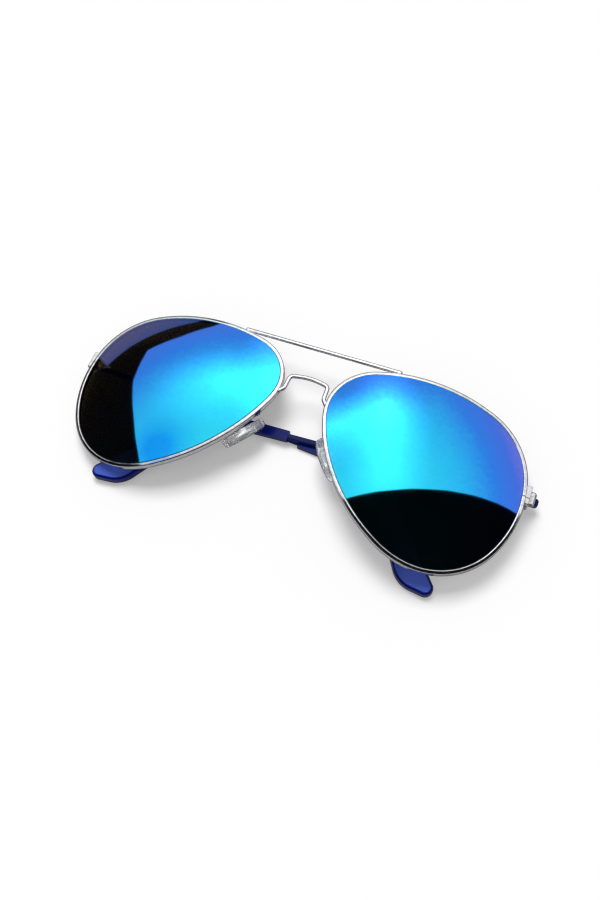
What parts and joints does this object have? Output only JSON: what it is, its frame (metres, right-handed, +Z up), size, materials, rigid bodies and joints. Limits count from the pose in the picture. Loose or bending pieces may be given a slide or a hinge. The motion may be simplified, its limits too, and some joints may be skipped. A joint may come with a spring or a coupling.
{
  "type": "folding wire-frame sunglasses",
  "caption": "Folding teardrop-lens sunglasses: mirrored lenses in thin wire rims, a brow bar above an arched bridge, rocking nose pads and hooked temples folding on barrel hinges.",
  "frame": {"origin": "middle of the footprint of the folded glasses, at the level of their lowest face, which is the flat under the end of the right temple tip", "axes": "+Z up, out of the fronts of the lenses as the folded glasses lie on their temples; +Y toward the brow bar; +X toward the wearer's left"},
  "size_m": [0.1446, 0.058, 0.0179],
  "materials": {
    "frame_metal": "polished",
    "screw_steel": "machined",
    "mirror_lens": "mirror-coated",
    "temple_paint": "gloss",
    "tip_plastic": "gloss",
    "pad_silicone": "clear"
  },
  "bodies": {
    "front_frame": {"bridge": "frame_metal", "brow_bar": "frame_metal", "left_rim": "frame_metal", "left_end_piece": "frame_metal", "left_lock_block": "frame_metal", "left_lock_screw": "screw_steel", "left_hinge_screw": "screw_steel", "left_pad_arm": "frame_metal", "left_pad_box": "frame_metal", "left_pad_screw": "screw_steel", "left_lens": "mirror_lens", "right_rim": "frame_metal", "right_end_piece": "frame_metal", "right_lock_block": "frame_metal", "right_lock_screw": "screw_steel", "right_hinge_screw": "screw_steel", "right_pad_arm": "frame_metal", "right_pad_box": "frame_metal", "right_pad_screw": "screw_steel", "right_lens": "mirror_lens"},
    "left_pad_body": {"left_nose_pad": "pad_silicone", "left_pad_core": "screw_steel"},
    "left_temple_body": {"left_temple": "temple_paint", "left_temple_leaf": "frame_metal", "left_temple_tip": "tip_plastic"},
    "right_pad_body": {"right_nose_pad": "pad_silicone", "right_pad_core": "screw_steel"},
    "right_temple_body": {"right_temple": "temple_paint", "right_temple_leaf": "frame_metal", "right_temple_tip": "tip_plastic"}
  },
  "joints": [
    {"name": "left_temple_hinge", "type": "hinge", "parent": "front_frame", "child": "left_temple_body", "pos_m": [0.0703, 0.00656, 0.0049], "axis": [0, -1, 0], "range_deg": [0, 90.75]},
    {"name": "right_temple_hinge", "type": "hinge", "parent": "front_frame", "child": "right_temple_body", "pos_m": [-0.0703, 0.00656, 0.0049], "axis": [0, 1, 0], "range_deg": [0, 89.25]},
    {"name": "left_pad_rock", "type": "hinge", "parent": "front_frame", "child": "left_pad_body", "pos_m": [0.01508, -0.00124, 0.0106], "axis": [-0.2992, -0.2254, 0.9272], "range_deg": [-8, 8]},
    {"name": "right_pad_rock", "type": "hinge", "parent": "front_frame", "child": "right_pad_body", "pos_m": [-0.01508, -0.00124, 0.0106], "axis": [0.2992, -0.2254, 0.9272], "range_deg": [-8, 8]}
  ]
}
